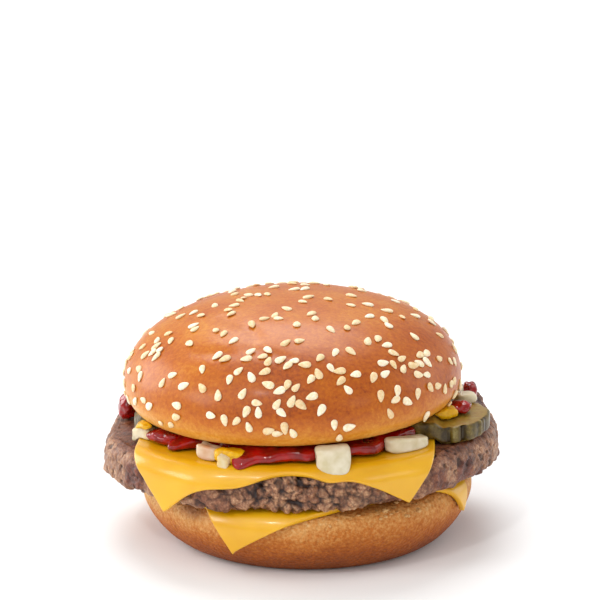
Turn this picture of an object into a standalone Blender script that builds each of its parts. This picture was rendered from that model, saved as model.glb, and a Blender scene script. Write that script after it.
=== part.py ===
"""Cheeseburger: seeded crown, heel, one beef patty, two cheese slices and the toppings between them.

Every length in this file is in millimetres and is turned to metres when a mesh is finished. The origin is
the centre of the heel's flat base, +Z is up and -Y is the front. The layers are laid out level, and the
pile's slight lean, up to the right and to the back, is added last.
"""

import math

import bmesh
import bpy
import numpy as np

MM = 0.001

# The pile
LEAN_RIGHT = 0.020          # rise for each mm to the right
LEAN_BACK = 0.033           # rise for each mm to the back
GAP = 0.3                   # left between pieces that touch
CROWN_GAP = 0.5             # left between the crown and what it presses on

# Heel, the lower half of the bun
HEEL_FOOT_R = 37.5
HEEL_R = 49.0
HEEL_WAIST_Z = 14.0
HEEL_TOP_R = 42.0
HEEL_TOP_Z = 20.4
HEEL_FOOT_POWER = 1.46      # 2 would be an ellipse, less is flatter
HEEL_RIM_POWER = 3.0
HEEL_SWELL = 0.006          # how far from round it is, as a share of its radius

# Crown, the upper half
CROWN_X, CROWN_Y = -4.1, 0.3
CROWN_R = 49.5
CROWN_FACE_R = 41.0
CROWN_FACE_Z = 39.3
CROWN_WAIST_Z = 46.3
CROWN_TOP_Z = 70.7
CROWN_POWER = 2.21
CROWN_TWIST = 0.8           # the cut face is this much higher at its right edge, and lower at its left

# Patty
PATTY_BOTTOM_Z = 22.3
PATTY_TOP_Z = 33.0
PATTY_ROUND = 4.0           # radius of its top edge
PATTY_ROUND_LOW = 2.2       # and of its bottom edge
PATTY_SAG = 1.8             # how far its left and right ends sink
SAG_FROM_X, SAG_OVER = 42.0, 16.0
PATTY_PLAIN_R = 56.0        # the round disc that is stretched to the patty's outline
PATTY_RINGS = (28.0, 43.0)  # radii of the rings of points on its flat faces

# Cheese slices
SLICE_T = 1.5
UPPER_SIDE = 85.0
UPPER_AT = (-5.4, -6.4)
UPPER_TURN = math.radians(-2.2)
LOWER_SIDE = 83.0
LOWER_AT = (-2.5, -2.6)
LOWER_TURN = math.radians(21)

# Pickle slices: centre x, centre y, radius
PICKLE_RIGHT = (36.0, -9.5, 16.8)
PICKLE_LEFT = (-36.0, -4.0, 15.3)
PICKLE_T = 4.6

# Ketchup: its thickness, its outline's radius, and the tongues that it is pressed out in, each as
# direction in degrees, how much further out, half width in degrees
KETCHUP_T = 3.8
KETCHUP_R = 40.0
KETCHUP_TONGUES = [
    (-139, 8.0, 8), (-106, 3.5, 8), (-92, 3.0, 5), (-67, 3.0, 6), (25, 4.0, 9), (62, 3.5, 8),
    (88, 2.0, 6), (128, 4.5, 9), (158, 3.0, 6),
]

# The onion piece that carries a drop of mustard: length, depth, height
ONION_LEFT_SIZE = (9.5, 3.0, 3.4)

# Colours are linear
BUN = (0.56, 0.22, 0.06)
BEEF = (0.20, 0.12, 0.09)
CHEESE = (0.85, 0.52, 0.04)
KETCHUP = (0.35, 0.01, 0.01)
MUSTARD = (0.83, 0.55, 0.02)
ONION = (0.80, 0.80, 0.66)
PICKLE = (0.18, 0.18, 0.05)


def smooth(share):
    """Eases a share from 0 to 1 with no corner at either end."""
    share = np.clip(share, 0, 1)
    return share * share * (3 - 2 * share)


def hump(angle, at, width):
    """A bell of height 1 round the direction at, both in degrees, for angles in radians."""
    away = (np.degrees(angle) - at + 180) % 360 - 180
    return np.exp(-((away / width) ** 2))


# The surfaces that the layers share

def patty_rim(angle):
    """The patty's outline: an egg that is widest to the left, with a bulge at the back right."""
    egg = 55.1 - 2.2 * np.cos(angle) + 3.0 * np.sin(angle) + 3.1 * np.cos(2 * angle)
    ragged = 0.35 * np.sin(5 * angle + 1.0) + 0.3 * np.sin(9 * angle + 2.5) + 0.2 * np.sin(14 * angle)
    return egg + ragged + 5.5 * hump(angle, 34, 13)


def sag(x, y):
    """How far the patty, and what lies on it, has sunk at its left and right ends."""
    over = np.clip((np.abs(x) - SAG_FROM_X) / SAG_OVER, 0, 1.2)
    return PATTY_SAG * over**2


def rounded_top(x, y, height, corner):
    """The height of a layer with the patty's outline whose top edge is rounded."""
    past = np.hypot(x, y) - (patty_rim(np.arctan2(y, x)) - PATTY_ROUND)
    return height - corner + np.sqrt(corner**2 - np.clip(past, 0, 0.98 * corner) ** 2) - sag(x, y)


def bed(x, y):
    """The surface that the toppings lie on: the upper slice, easing down to the patty past its edge."""
    cover = slice_cover(x, y)
    patty = rounded_top(x, y, PATTY_TOP_Z, PATTY_ROUND)
    slice_t = SLICE_T + 2 * GAP
    cheese = rounded_top(x, y, PATTY_TOP_Z + slice_t, PATTY_ROUND + slice_t)
    return patty + (cheese - patty) * cover


def slice_cover(x, y):
    """1 over the upper slice, falling to 0 between 1.5 and 9.5 mm beyond its edge."""
    u, v = turn(x - UPPER_AT[0], y - UPPER_AT[1], -UPPER_TURN)
    outside = np.maximum(np.abs(u), np.abs(v)) - UPPER_SIDE / 2
    return 1 - smooth((outside - 1.5) / 8)


def stiff_bed(x, y):
    """The level that a stiff pickle slice keeps, even past the patty's rounded edge."""
    return PATTY_TOP_Z + (SLICE_T + 2 * GAP) * slice_cover(x, y)


def roof(x, y):
    """The crown's underside: its cut face, and the rounding beyond that."""
    r = np.hypot(x - CROWN_X, y - CROWN_Y)
    drop = CROWN_WAIST_Z - CROWN_FACE_Z
    past = np.clip((r - CROWN_FACE_R) / (CROWN_R - CROWN_FACE_R), 0, 1)
    low = np.sqrt(1 - past**2)
    return CROWN_WAIST_Z - drop * low + CROWN_TWIST * (x - CROWN_X) / CROWN_FACE_R * low


def turn(x, y, angle):
    """Turns points about the Z axis."""
    return x * np.cos(angle) - y * np.sin(angle), x * np.sin(angle) + y * np.cos(angle)


# Making and placing meshes

def reshape(mesh, shape):
    """Puts each vertex where shape(x, y, z) says, leans the pile, and turns millimetres to metres."""
    points = np.empty(len(mesh.vertices) * 3)
    mesh.vertices.foreach_get("co", points)
    x, y, z = shape(*points.reshape(-1, 3).T)
    z = z + (LEAN_RIGHT * x + LEAN_BACK * y) * np.clip(z / HEEL_TOP_Z, 0, 1)
    mesh.vertices.foreach_set("co", (np.stack([x, y, z], axis=1) * MM).ravel())
    mesh.update()


def turned(name, profile, steps):
    """A closed turned mesh. The profile's (radius, height) pairs run down the outside, centre to centre."""
    line = bpy.data.meshes.new(name + "_profile")
    points = [(r, 0, z) for r, z in profile]
    line.from_pydata(points, [(i, i + 1) for i in range(len(points) - 1)], [])
    spun = bpy.data.objects.new(name + "_profile", line)
    bpy.context.scene.collection.objects.link(spun)
    screw = spun.modifiers.new("Turn", "SCREW")
    screw.steps = screw.render_steps = steps
    screw.use_merge_vertices = True
    screw.merge_threshold = 0.00005
    depsgraph = bpy.context.evaluated_depsgraph_get()
    mesh = bpy.data.meshes.new_from_object(spun.evaluated_get(depsgraph))
    mesh.name = name
    bpy.data.objects.remove(spun)
    return mesh


def primitive(name, kind, **settings):
    """A mesh made by one of bmesh's own shapes."""
    mesh = bpy.data.meshes.new(name)
    bm = bmesh.new()
    kind(bm, **settings)
    bm.to_mesh(mesh)
    bm.free()
    return mesh


def cut_cube(bm, cuts):
    """A cube from -1 to 1 whose faces are cut into a grid."""
    bmesh.ops.create_cube(bm, size=2)
    bmesh.ops.subdivide_edges(bm, edges=bm.edges[:], cuts=cuts, use_grid_fill=True)


def food(name, colour, roughness):
    """A material with a plain finish."""
    material = bpy.data.materials.new(name)
    material.use_nodes = True
    shader = material.node_tree.nodes["Principled BSDF"]
    shader.inputs["Base Color"].default_value = (*colour, 1)
    shader.inputs["Roughness"].default_value = roughness
    shader.inputs["Metallic"].default_value = 0
    return material


def place(burger, name, mesh, material):
    """Makes the mesh a named object in the burger's collection."""
    mesh.materials.append(material)
    mesh.shade_smooth()
    piece = bpy.data.objects.new(name, mesh)
    burger.objects.link(piece)
    return piece


# The bun

def heel_side():
    """The heel's side, from the rim of its cut face down to the foot."""
    t = np.linspace(0, math.pi / 2, 6)
    rim = 2 / HEEL_RIM_POWER
    upper_r = HEEL_TOP_R + (HEEL_R - HEEL_TOP_R) * np.sin(t) ** rim
    upper_z = HEEL_WAIST_Z + (HEEL_TOP_Z - HEEL_WAIST_Z) * np.cos(t) ** rim
    foot = 2 / HEEL_FOOT_POWER
    lower_r = HEEL_FOOT_R + (HEEL_R - HEEL_FOOT_R) * np.cos(t[1:]) ** foot
    lower_z = HEEL_WAIST_Z * (1 - np.sin(t[1:]) ** foot)
    return [*zip(upper_r, upper_z), *zip(lower_r, lower_z)]


def add_heel(burger, crust):
    """A flat-based bun half, cut level on top."""
    profile = [(0, HEEL_TOP_Z), *heel_side(), (0, 0)]
    mesh = turned("heel", profile, 48)

    def shape(x, y, z):
        swell = 1 + HEEL_SWELL * np.sin(2 * np.arctan2(y, x) + 0.6) * np.clip(z / HEEL_WAIST_Z, 0, 1)
        return x * swell, y * swell, z

    reshape(mesh, shape)
    place(burger, "heel", mesh, crust)


def add_crown(burger, crust):
    """The domed half: a superellipse above its widest level, an elliptical rounding below it."""
    t = np.linspace(0, math.pi / 2, 10)
    dome = 2 / CROWN_POWER
    dome_r = CROWN_R * np.sin(t) ** dome
    dome_z = CROWN_WAIST_Z + (CROWN_TOP_Z - CROWN_WAIST_Z) * np.cos(t) ** dome
    s = np.linspace(0, math.pi / 2, 6)[1:]
    under_r = CROWN_FACE_R + (CROWN_R - CROWN_FACE_R) * np.cos(s)
    under_z = CROWN_WAIST_Z - (CROWN_WAIST_Z - CROWN_FACE_Z) * np.sin(s)
    profile = [*zip(dome_r, dome_z), *zip(under_r, under_z), (0, CROWN_FACE_Z)]
    mesh = turned("crown", profile, 52)

    def shape(x, y, z):
        low = np.clip((CROWN_WAIST_Z - z) / (CROWN_WAIST_Z - CROWN_FACE_Z), 0, 1)
        return x + CROWN_X, y + CROWN_Y, z + CROWN_TWIST * x / CROWN_FACE_R * low

    reshape(mesh, shape)
    place(burger, "crown", mesh, crust)


# The patty and the slices

def add_patty(burger, beef):
    """A thick disc with a rounded edge, stretched to its outline and sagging at its sides."""
    edge_r = PATTY_PLAIN_R
    t = np.linspace(0, math.pi / 2, 5)
    profile = [(r, PATTY_TOP_Z) for r in (0, *PATTY_RINGS)]
    profile += zip(edge_r - PATTY_ROUND * (1 - np.sin(t)), PATTY_TOP_Z - PATTY_ROUND * (1 - np.cos(t)))
    low = t[::2]
    profile += zip(
        edge_r - PATTY_ROUND_LOW * (1 - np.cos(low)), PATTY_BOTTOM_Z + PATTY_ROUND_LOW * (1 - np.sin(low))
    )
    profile += [(r, PATTY_BOTTOM_Z) for r in (*reversed(PATTY_RINGS), 0)]
    mesh = turned("patty", profile, 60)

    def shape(x, y, z):
        inset = edge_r - np.hypot(x, y)
        angle = np.arctan2(y, x)
        rim = patty_rim(angle)
        r = np.where(inset <= PATTY_ROUND + 0.01, rim - inset, np.hypot(x, y) * rim / edge_r)
        x, y = r * np.cos(angle), r * np.sin(angle)
        return x, y, z - sag(x, y)

    reshape(mesh, shape)
    place(burger, "patty", mesh, beef)


def drape(x, y, rim, start, path, creep):
    """Folds flat points over an edge.

    A point's distance past the fold's start, which lies start mm inside the rim, becomes length along the
    path, whose points are (outward from the start, height). Creep lists (direction, shift) pairs in
    degrees: how far round the soft slice has slid once it is over the edge.
    """
    r, angle = np.hypot(x, y), np.arctan2(y, x)
    first = rim(angle) - start
    over = np.clip(r - first, 0, None)
    out, height = np.array(path).T
    along = np.concatenate([[0], np.cumsum(np.hypot(np.diff(out), np.diff(height)))])
    at, shift = np.array(creep).T
    slide = np.interp(np.degrees(angle), at, shift, period=360) * smooth(over / 8 + 0.5)
    angle = angle + np.radians(slide)
    reach = np.minimum(r, first) + np.interp(over, along, out)
    return reach * np.cos(angle), reach * np.sin(angle), np.interp(over, along, height)


def add_slice(burger, name, side, at, turned_by, fold, cheese):
    """A square slice: a grid that is finest at its edges, folded by fold(x, y) and given its thickness."""
    mesh = primitive(name, bmesh.ops.create_grid, x_segments=18, y_segments=18, size=1)

    def shape(x, y, z):
        u, v = (side / 2 * s * (1.5 - 0.5 * np.abs(s)) for s in (x, y))
        u, v = turn(u, v, turned_by)
        return fold(u + at[0], v + at[1])

    reshape(mesh, shape)
    piece = place(burger, name, mesh, cheese)
    wall = piece.modifiers.new("Thickness", "SOLIDIFY")
    wall.thickness = SLICE_T * MM
    wall.offset = 0


def add_cheese_lower(burger, cheese):
    """The slice on the heel, with one corner over the front and one over the right."""
    level = HEEL_TOP_Z + GAP + SLICE_T / 2
    stand_off = HEEL_R + 3 * GAP + SLICE_T / 2
    t = np.linspace(0, math.pi / 2, 12)
    rim = 2 / HEEL_RIM_POWER
    out = (stand_off - HEEL_TOP_R) * np.sin(t) ** rim
    height = HEEL_WAIST_Z + (level - HEEL_WAIST_Z) * np.cos(t) ** rim
    path = [*zip(out, height), (out[-1] - 1.5, HEEL_WAIST_Z - 12)]
    creep = [(-175, 0), (-138, 11), (-114, 0), (-92, 8), (-46, 8), (-27, 0), (-14, -6), (20, 0)]

    def fold(x, y):
        return drape(x, y, lambda angle: HEEL_TOP_R, 0.0, path, creep)

    add_slice(burger, "cheese_lower", LOWER_SIDE, LOWER_AT, LOWER_TURN, fold, cheese)


def add_cheese_upper(burger, cheese):
    """The slice on the patty, with both front corners hanging."""
    clear = GAP + SLICE_T / 2
    t = np.linspace(0, math.pi / 2, 8)
    corner = PATTY_ROUND + clear + 2 * GAP * np.sin(2 * t)
    out = corner * np.sin(t)
    height = PATTY_TOP_Z - PATTY_ROUND + corner * np.cos(t)
    path = [*zip(out, height), (out[-1] - 0.5, PATTY_TOP_Z - PATTY_ROUND - 14)]
    creep = [(-160, 0), (-136, 1.5), (-95, 0), (-55, -1.7), (-40, 0)]

    def fold(x, y):
        x, y, z = drape(x, y, patty_rim, PATTY_ROUND, path, creep)
        return x, y, z - sag(x, y)

    add_slice(burger, "cheese_upper", UPPER_SIDE, UPPER_AT, UPPER_TURN, fold, cheese)


# The toppings

def seat(x, y, share, base, thick):
    """A height between a topping's underside, share 0, and its top, which the crown presses down."""
    low = base(x, y) + GAP
    high = np.minimum(low + thick, roof(x, y) - CROWN_GAP)
    return low + share * (high - low)


def on_pickle(x, y):
    """The top of a pickle slice."""
    return seat(x, y, 1, stiff_bed, PICKLE_T)


def add_pickle(burger, name, at, green):
    """A round of pickled cucumber with a ribbed skin."""
    x0, y0, radius = at
    face = (0, 0.3, 0.6, 0.94)
    profile = [*[(r, 1) for r in face], (1, 0.8), (1, 0.2), *[(r, 0) for r in reversed(face)]]
    mesh = turned(name, profile, 28)

    def shape(x, y, z):
        angle = np.arctan2(y, x)
        rib = 1 + 0.012 * np.cos(7 * angle) + 0.01 * np.cos(3 * angle + 1)
        x, y = x0 + radius * rib * x, y0 + radius * rib * y
        return x, y, seat(x, y, z, stiff_bed, PICKLE_T)

    reshape(mesh, shape)
    place(burger, name, mesh, green)


def add_onion(burger, name, at, size, turned_by, onion, base=bed, slope=0.0, taper=0.0):
    """A diced onion piece: a block with soft corners that stands on its base.

    Size is its length, depth and height. Slope moves its top backwards, in mm for each mm of height, and
    taper makes its right end lower, as a share of the height.
    """
    mesh = primitive(name, cut_cube, cuts=2)
    length, depth, thick = size

    def shape(x, y, z):
        pinch = 1 - 0.12 * (x**2 + y**2 + z**2 - 1) / 2
        share = (z * pinch + 1) / 2
        u, v = turn(x * pinch * length / 2, y * pinch * depth / 2, math.radians(turned_by))
        u, v = u + at[0], v + at[1] + slope * share * thick
        return u, v, seat(u, v, share, base, thick * (1 - taper * (x + 1) / 2))

    reshape(mesh, shape)
    place(burger, name, mesh, onion)


def add_blob(burger, name, at, size, turned_by, sauce, base=bed):
    """A drop of sauce: a ball squashed between its base and the crown. Size is length, depth, height."""
    mesh = primitive(name, bmesh.ops.create_uvsphere, u_segments=10, v_segments=7, radius=1)
    length, depth, thick = size

    def shape(x, y, z):
        u, v = turn(x * length / 2, y * depth / 2, math.radians(turned_by))
        return u + at[0], v + at[1], seat(u + at[0], v + at[1], (z + 1) / 2, base, thick)

    reshape(mesh, shape)
    place(burger, name, mesh, sauce)


def ketchup_rim(angle):
    """The ketchup's outline: just past the crown's cut face, with tongues, and hollowed round the pickles."""
    reach = KETCHUP_R + 0 * angle
    for direction, more, width in KETCHUP_TONGUES:
        reach = reach + more * hump(angle, direction, width)
    for x, y, radius in (PICKLE_LEFT, PICKLE_RIGHT):
        away, off = np.hypot(x, y), angle - np.arctan2(y, x)
        clear = radius + 1.0
        half = np.sqrt(np.clip(clear**2 - (away * np.sin(off)) ** 2, 0, None))
        met = (half > 0) & (np.cos(off) > 0)
        reach = np.where(met, np.minimum(reach, away * np.cos(off) - half), reach)
    return reach


def add_ketchup(burger, sauce):
    """The ketchup: a layer pressed out between the slice and the crown."""
    face = (0, 0.75, 0.94)
    profile = [*[(r, 1) for r in face], (1, 0.72), (1, 0.28), *[(r, 0) for r in reversed(face)]]
    mesh = turned("ketchup", profile, 72)

    def shape(x, y, z):
        angle = np.arctan2(y, x)
        reach = ketchup_rim(angle)
        x, y = x * reach, y * reach
        return x, y, seat(x, y, z, bed, KETCHUP_T)

    reshape(mesh, shape)
    place(burger, "ketchup", mesh, sauce)


def on_left_onion(x, y):
    """The top of the onion piece that carries the left drop of mustard."""
    return seat(x, y, 1, bed, ONION_LEFT_SIZE[2])


def add_toppings(burger, colours):
    """Every topping, each where it lies on the slice, the patty or a pickle."""
    red, yellow, white, green = (colours[k] for k in ("ketchup", "mustard", "onion", "pickle"))
    add_ketchup(burger, red)
    add_pickle(burger, "pickle_right", PICKLE_RIGHT, green)
    add_pickle(burger, "pickle_left", PICKLE_LEFT, green)

    add_onion(burger, "onion_left", (-47.4, -17.4), ONION_LEFT_SIZE, -53, white)
    add_onion(burger, "onion_front_left", (-27.6, -38.0), (7.0, 4.0, 4.0), -35, white)
    add_onion(burger, "onion_front_small", (-23.4, -43.8), (3.2, 2.4, 2.8), -25, white)
    add_onion(burger, "onion_front", (7.0, -46.6), (9.4, 4.6, 5.2), 3, white, slope=0.35)
    add_onion(burger, "onion_front_right", (28.0, -33.6), (13.0, 4.2, 4.4), 31, white, taper=0.25)
    add_onion(burger, "onion_right", (46.6, -1.6), (5.6, 4.6, 2.7), 20, white, base=on_pickle)
    add_onion(burger, "onion_sliver", (45.9, 9.0), (5.2, 1.5, 7.6), 82, white)
    add_onion(burger, "onion_back_right", (26.0, 37.0), (9.0, 4.4, 4.2), -35, white, taper=0.2)
    add_onion(burger, "onion_back", (-14.0, 44.6), (8.2, 4.4, 4.4), 12, white)
    add_onion(burger, "onion_back_left", (-43.6, 22.6), (7.4, 4.6, 4.2), 63, white)

    add_blob(burger, "mustard_left", (-46.9, -20.4), (5.6, 2.6, 1.8), -53, yellow, base=on_left_onion)
    add_blob(burger, "mustard_front", (-20.6, -40.4), (7.6, 4.4, 4.0), -20, yellow)
    add_blob(burger, "mustard_right", (39.6, -17.4), (6.4, 4.0, 3.2), 25, yellow, base=on_pickle)
    add_blob(burger, "mustard_back", (6.0, 45.2), (8.0, 5.0, 3.8), -8, yellow)

    add_blob(burger, "ketchup_left", (-53.4, 9.0), (6.2, 8.6, 7.4), 0, red)
    add_blob(burger, "ketchup_on_pickle", (44.4, -12.0), (6.6, 5.8, 3.2), 0, red, base=on_pickle)
    add_blob(burger, "ketchup_right", (49.8, 14.2), (5.6, 6.4, 7.4), 0, red)


def main():
    for old in list(bpy.data.objects):
        bpy.data.objects.remove(old)
    burger = bpy.data.collections.new("cheeseburger")
    bpy.context.scene.collection.children.link(burger)

    crust = food("bun_crust", BUN, 0.45)
    cheese = food("processed_cheese", CHEESE, 0.35)
    add_heel(burger, crust)
    add_cheese_lower(burger, cheese)
    add_patty(burger, food("grilled_beef", BEEF, 0.6))
    add_cheese_upper(burger, cheese)
    colours = {
        "ketchup": food("ketchup", KETCHUP, 0.15),
        "mustard": food("mustard", MUSTARD, 0.3),
        "onion": food("onion", ONION, 0.3),
        "pickle": food("pickled_cucumber", PICKLE, 0.35),
    }
    add_toppings(burger, colours)
    add_crown(burger, crust)


main()
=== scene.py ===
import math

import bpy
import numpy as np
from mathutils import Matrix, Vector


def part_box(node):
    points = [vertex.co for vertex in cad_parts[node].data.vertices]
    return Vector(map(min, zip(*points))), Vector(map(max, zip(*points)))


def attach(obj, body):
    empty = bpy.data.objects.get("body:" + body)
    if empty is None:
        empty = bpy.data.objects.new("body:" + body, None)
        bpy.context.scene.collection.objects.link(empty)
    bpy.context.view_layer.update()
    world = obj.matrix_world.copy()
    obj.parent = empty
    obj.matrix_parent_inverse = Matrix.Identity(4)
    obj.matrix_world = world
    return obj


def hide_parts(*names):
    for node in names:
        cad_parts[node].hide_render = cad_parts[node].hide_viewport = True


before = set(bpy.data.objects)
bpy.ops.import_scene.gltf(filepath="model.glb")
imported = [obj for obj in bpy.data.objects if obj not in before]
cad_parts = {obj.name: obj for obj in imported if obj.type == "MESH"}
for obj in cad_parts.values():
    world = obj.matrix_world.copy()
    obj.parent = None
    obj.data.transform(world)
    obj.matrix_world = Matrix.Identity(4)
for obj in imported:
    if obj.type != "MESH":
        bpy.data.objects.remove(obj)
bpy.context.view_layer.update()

# %% [markdown]
# # A cheeseburger, layer by layer
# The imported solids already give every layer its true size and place. This notebook dresses them: each
# solid is replaced by a finer surface of the same size with the finish of the real food. All shapes are
# worked out with numpy in millimetres, with the layers level, and one last function leans the pile and
# turns millimetres to metres, just as it was done for the solids.

MM = 0.001
rng = np.random.default_rng(7)


# %% Where a solid lies
def middle(node):
    """The middle of a solid's box, in millimetres."""
    low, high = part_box(node)
    return np.array([(a + b) / 2 / MM for a, b in zip(low, high)])


def extent(node):
    """The width, depth and height of a solid's box, in millimetres."""
    low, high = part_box(node)
    return np.array([(b - a) / MM for a, b in zip(low, high)])


print("patty:", extent("patty").round(1), "crown:", extent("crown").round(1))

# %% [markdown]
# ## The shape of the pile
# A stack of soft food is never quite level. The layers are designed level, because then a topping's height
# is simply the height of what lies under it, and the lean is added to every point at the end. The formulas
# below are the ones that made the solids, so a finer surface falls exactly on its solid.

# %% Sizes of the layers
LEAN_RIGHT, LEAN_BACK = 0.020, 0.033
HEEL_TOP_Z, HEEL_TOP_R, HEEL_R, HEEL_WAIST_Z, HEEL_FOOT_R = 20.4, 42.0, 49.0, 14.0, 37.5
CROWN_X, CROWN_Y = middle("crown")[:2]
CROWN_R = extent("crown")[0] / 2
CROWN_FACE_R, CROWN_FACE_Z, CROWN_WAIST_Z, CROWN_TOP_Z = 41.0, 39.3, 46.3, 70.7
CROWN_TWIST = 0.8
# powers of the superellipses: the dome, the heel above its widest level, and below it
CROWN_POWER, HEEL_RIM_POWER, HEEL_FOOT_POWER = 2.21, 3.0, 1.46
PATTY_TOP_Z, PATTY_BOTTOM_Z, PATTY_ROUND, PATTY_ROUND_LOW = 33.0, 22.3, 4.0, 2.2
SLICE_T = 1.7
UPPER_AT, UPPER_TURN, UPPER_SIDE = (-5.4, -6.4), math.radians(-2.2), 85.0
LOWER_AT, LOWER_TURN, LOWER_SIDE = (-2.5, -2.6), math.radians(21), 83.0
PICKLE_T = 5.2
LEFT_ONION_T = 3.4
TOUCH = 0.08                # the small gap left between layers that lie on each other


# %% Small formulas
def smooth(share):
    """Eases a share from 0 to 1 with no corner at either end."""
    share = np.clip(share, 0, 1)
    return share * share * (3 - 2 * share)


def hump(angle, at, width):
    """A bell of height 1 round the direction at, both in degrees, for angles in radians."""
    away = (np.degrees(angle) - at + 180) % 360 - 180
    return np.exp(-((away / width) ** 2))


def turn(x, y, angle):
    """Turns points about the Z axis."""
    return x * np.cos(angle) - y * np.sin(angle), x * np.sin(angle) + y * np.cos(angle)


def patty_rim(angle):
    """The patty's outline: an egg that is widest to the left, with a bulge at the back right."""
    egg = 55.1 - 2.2 * np.cos(angle) + 3.0 * np.sin(angle) + 3.1 * np.cos(2 * angle)
    ragged = 0.35 * np.sin(5 * angle + 1.0) + 0.3 * np.sin(9 * angle + 2.5) + 0.2 * np.sin(14 * angle)
    return egg + ragged + 5.5 * hump(angle, 34, 13)


def sag(x, y):
    """How far the patty, and what lies on it, has sunk at its left and right ends."""
    return 1.8 * np.clip((np.abs(x) - 42) / 16, 0, 1.2) ** 2


def slice_cover(x, y):
    """1 over the upper slice, falling to 0 past its edge."""
    u, v = turn(x - UPPER_AT[0], y - UPPER_AT[1], -UPPER_TURN)
    outside = np.maximum(np.abs(u), np.abs(v)) - UPPER_SIDE / 2
    return 1 - smooth((outside + 0.5) / 3)


def bed(x, y):
    """The surface that the toppings lie on: the slice or the patty, with its rounded edge and its sag."""
    corner = PATTY_ROUND + slice_cover(x, y) * (SLICE_T + TOUCH)
    past = np.hypot(x, y) - (patty_rim(np.arctan2(y, x)) - PATTY_ROUND)
    rounding = np.sqrt(corner**2 - np.clip(past, 0, 0.98 * corner) ** 2)
    return PATTY_TOP_Z - PATTY_ROUND + rounding - sag(x, y)


def stiff_bed(x, y):
    """The level that a stiff pickle slice keeps, even past the patty's rounded edge."""
    return PATTY_TOP_Z + (SLICE_T + TOUCH) * slice_cover(x, y)


def roof(x, y):
    """The crown's underside: its cut face, and the rounding beyond that."""
    past = np.clip((np.hypot(x - CROWN_X, y - CROWN_Y) - CROWN_FACE_R) / (CROWN_R - CROWN_FACE_R), 0, 1)
    low = np.sqrt(1 - past**2)
    twist = CROWN_TWIST * (x - CROWN_X) / CROWN_FACE_R * low
    return CROWN_WAIST_Z - (CROWN_WAIST_Z - CROWN_FACE_Z) * low + twist


print("rim of the patty at the front:", patty_rim(np.radians(-90)).round(1), "mm")

# %% [markdown]
# ## Noise
# Baked and minced food is uneven at every size. Two kinds of pattern are enough: a smooth cloud, for slow
# swells and stains, and a cell pattern, whose rounded cells look like crumbs of minced meat. Both hash the
# points of a grid, so they give the same result on each run and need no random numbers.


# %% Cloud noise and cell noise
def hashed(i, j, k, seed):
    """A number from 0 to 1 for each grid point: its whole-number coordinates mixed by multiply and shift."""
    mix = (i * 374761393 + j * 668265263 + k * 1274126177 + seed * 974711) & 0xFFFFFFFF
    mix = ((mix ^ (mix >> 13)) * 1103515245) & 0xFFFFFFFF
    mix = ((mix ^ (mix >> 16)) * 2654435769) & 0xFFFFFFFF
    return (mix ^ (mix >> 15)) / 0xFFFFFFFF


def cloud(points, size, seed=0, layers=2):
    """Smooth noise from -1 to 1: grid values blended with eased weights, in layers half the size each."""
    total, weight = 0.0, 1.0
    for layer in range(layers):
        place = points / size * 2**layer + 64
        base = np.floor(place).astype(np.int64)
        part = smooth(place - base)
        value = 0.0
        for corner in np.ndindex(2, 2, 2):
            near = np.prod(np.where(np.array(corner) == 1, part, 1 - part), axis=-1)
            value = value + near * hashed(*np.moveaxis(base + corner, -1, 0), seed + layer)
        total = total + weight * (2 * value - 1)
        weight *= 0.5
    return total / (2 - 2 * weight)


def crumbs(points, size, seed=0):
    """Cell noise: the distance to the nearest scattered point and to the next, and that cell's own tone."""
    place = points / size + 64
    base = np.floor(place).astype(np.int64)
    first = np.full(place.shape[:-1], 9.0)
    second, tone = first.copy(), first.copy()
    for step in np.ndindex(3, 3, 3):
        cell = base + step - 1
        keys = [hashed(*np.moveaxis(cell, -1, 0), seed + n) for n in range(4)]
        away = np.linalg.norm(cell + np.stack(keys[:3], axis=-1) - place, axis=-1)
        closer = away < first
        second = np.where(closer, first, np.minimum(second, away))
        tone = np.where(closer, keys[3], tone)
        first = np.minimum(first, away)
    return first, second, tone


print("cloud at one point:", cloud(np.array([[1.0, 2.0, 3.0]]), 5).round(3))

# %% [markdown]
# ## From a grid of points to a piece
# A bun, a patty, a pickle, a drop of sauce: each is a closed surface with a top and a bottom centre. So one
# function makes them all. It takes a grid whose rows run from the top centre down the outside to the bottom
# centre and whose columns go round, and it closes the two ends with fans of triangles.


# %% Closed surfaces
def faces_of(rows, columns):
    """The faces of a closed grid: quads between its rings, and a fan at each end."""
    ring = np.arange(columns)
    after = (ring + 1) % columns
    start = 1 + np.arange(rows - 3)[:, None] * columns
    quads = np.stack([start + ring, start + columns + ring, start + columns + after, start + after], axis=-1)
    last = 1 + (rows - 2) * columns
    top = np.stack([0 * ring, 1 + ring, 1 + after], axis=-1)
    bottom = np.stack([0 * ring + last, last - columns + after, last - columns + ring], axis=-1)
    return quads.reshape(-1, 4), np.concatenate([top, bottom])


def ends_joined(grid):
    """A grid's values as a flat list in which the first and the last row are one point each."""
    return np.concatenate([grid[0, :1], grid[1:-1].reshape(-1, *grid.shape[2:]), grid[-1, :1]])


def settled(points):
    """Leans the pile: points rise to the right and to the back, above the heel's base, in metres."""
    x, y, z = np.moveaxis(points, -1, 0)
    lift = (LEAN_RIGHT * x + LEAN_BACK * y) * np.clip(z / HEEL_TOP_Z, 0, 1)
    return np.stack([x, y, z + lift], axis=-1) * MM


def pushed(grid, height):
    """Moves a grid's points outwards: the direction is the cross product of its two finite differences."""
    around = np.roll(grid, -1, axis=1) - np.roll(grid, 1, axis=1)
    normal = np.cross(np.gradient(grid, axis=0), around)
    normal[0], normal[-1] = (0, 0, 1), (0, 0, -1)
    normal /= np.linalg.norm(normal, axis=-1, keepdims=True) + 1e-9
    return grid + normal * np.asarray(height)[..., None]


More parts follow.
